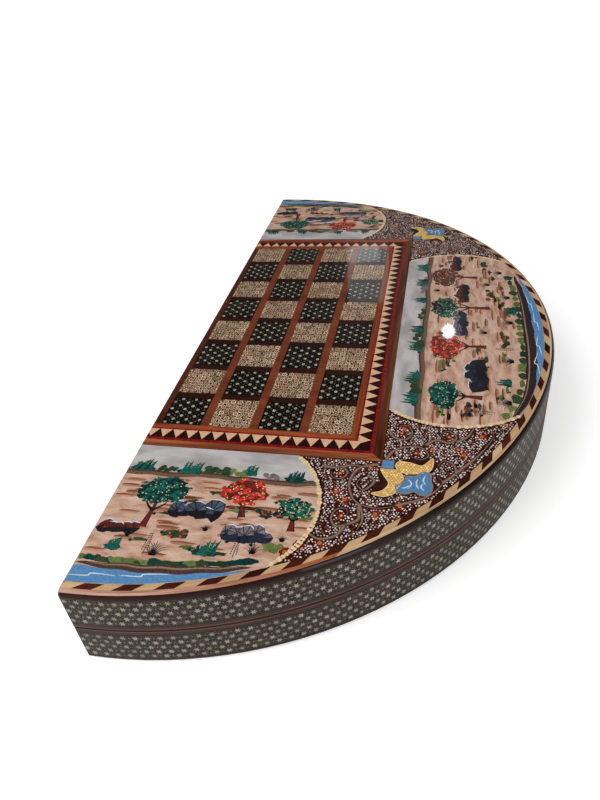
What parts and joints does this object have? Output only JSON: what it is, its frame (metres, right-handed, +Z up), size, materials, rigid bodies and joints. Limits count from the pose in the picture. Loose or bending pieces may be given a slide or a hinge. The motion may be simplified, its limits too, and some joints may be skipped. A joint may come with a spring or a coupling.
{
  "type": "folding board game case",
  "caption": "Round folding chess and backgammon board, closed to a half disc box with a hinged lid, inlaid outer faces, starred marquetry walls and open trays inside.",
  "frame": {"origin": "bottom centre of the closed case's bounding box, on the surface it lies on", "axes": "+Z up, +Y along the straight hinge side towards the far end, +X from the hinge side towards the curved side"},
  "size_m": [0.253, 0.5, 0.057],
  "materials": {
    "plywood": "satin",
    "rim_walnut": "satin lacquer",
    "edge_maple": "glossy lacquer",
    "brown_line": "glossy lacquer",
    "star_marquetry": "glossy lacquer",
    "block_dark": "glossy lacquer",
    "block_light": "glossy lacquer",
    "painted_scene": "glossy lacquer over paint",
    "painted_ornament": "glossy lacquer over paint",
    "frame_brown": "glossy lacquer",
    "frame_red": "glossy lacquer",
    "tooth_light": "glossy lacquer",
    "tooth_dark": "glossy lacquer",
    "strip_red_brown": "glossy lacquer",
    "strip_dark": "glossy lacquer",
    "square_light": "glossy lacquer",
    "square_dark": "glossy lacquer",
    "point_light": "glossy lacquer",
    "point_dark": "glossy lacquer",
    "play_floor": "glossy lacquer",
    "divider_wood": "satin lacquer",
    "brass": "polished"
  },
  "bodies": {
    "base": {"base_face_board": "plywood", "base_rim_wall": "rim_walnut", "base_hinge_rail": "rim_walnut", "base_edge_band": "edge_maple", "base_wall_lines": "brown_line", "base_wall_marquetry": "star_marquetry", "base_spine_marquetry": "star_marquetry", "base_border_blocks_dark": "block_dark", "base_border_blocks_light": "block_light", "base_end_panels": "painted_scene", "base_side_panel": "painted_scene", "base_corner_grounds": "painted_ornament", "base_frame_inner_strip": "frame_brown", "base_frame_red_lines": "frame_red", "base_frame_outer_band": "frame_brown", "base_frame_teeth_light": "tooth_light", "base_frame_teeth_dark": "tooth_dark", "base_squares_light": "square_light", "base_squares_dark": "square_dark", "base_column_strips": "strip_red_brown", "base_row_strips": "strip_dark", "base_points_light": "point_light", "base_points_dark": "point_dark", "base_play_floor": "play_floor", "base_end_dividers": "divider_wood", "base_side_divider": "divider_wood", "hinge_leaves_base": "brass", "hinge_pins": "brass"},
    "lid": {"lid_face_board": "plywood", "lid_rim_wall": "rim_walnut", "lid_hinge_rail": "rim_walnut", "lid_edge_band": "edge_maple", "lid_wall_lines": "brown_line", "lid_wall_marquetry": "star_marquetry", "lid_spine_marquetry": "star_marquetry", "lid_border_blocks_dark": "block_dark", "lid_border_blocks_light": "block_light", "lid_end_panels": "painted_scene", "lid_side_panel": "painted_scene", "lid_corner_grounds": "painted_ornament", "lid_frame_inner_strip": "frame_brown", "lid_frame_red_lines": "frame_red", "lid_frame_outer_band": "frame_brown", "lid_frame_teeth_light": "tooth_light", "lid_frame_teeth_dark": "tooth_dark", "lid_squares_light": "square_light", "lid_squares_dark": "square_dark", "lid_column_strips": "strip_red_brown", "lid_row_strips": "strip_dark", "lid_points_light": "point_light", "lid_points_dark": "point_dark", "lid_play_floor": "play_floor", "lid_end_dividers": "divider_wood", "lid_side_divider": "divider_wood", "hinge_leaves_lid": "brass"}
  },
  "joints": [
    {"name": "lid_hinge", "type": "hinge", "parent": "base", "child": "lid", "pos_m": [-0.12375, 0, 0.0285], "axis": [0, -1, 0], "range_deg": [0, 180]}
  ]
}
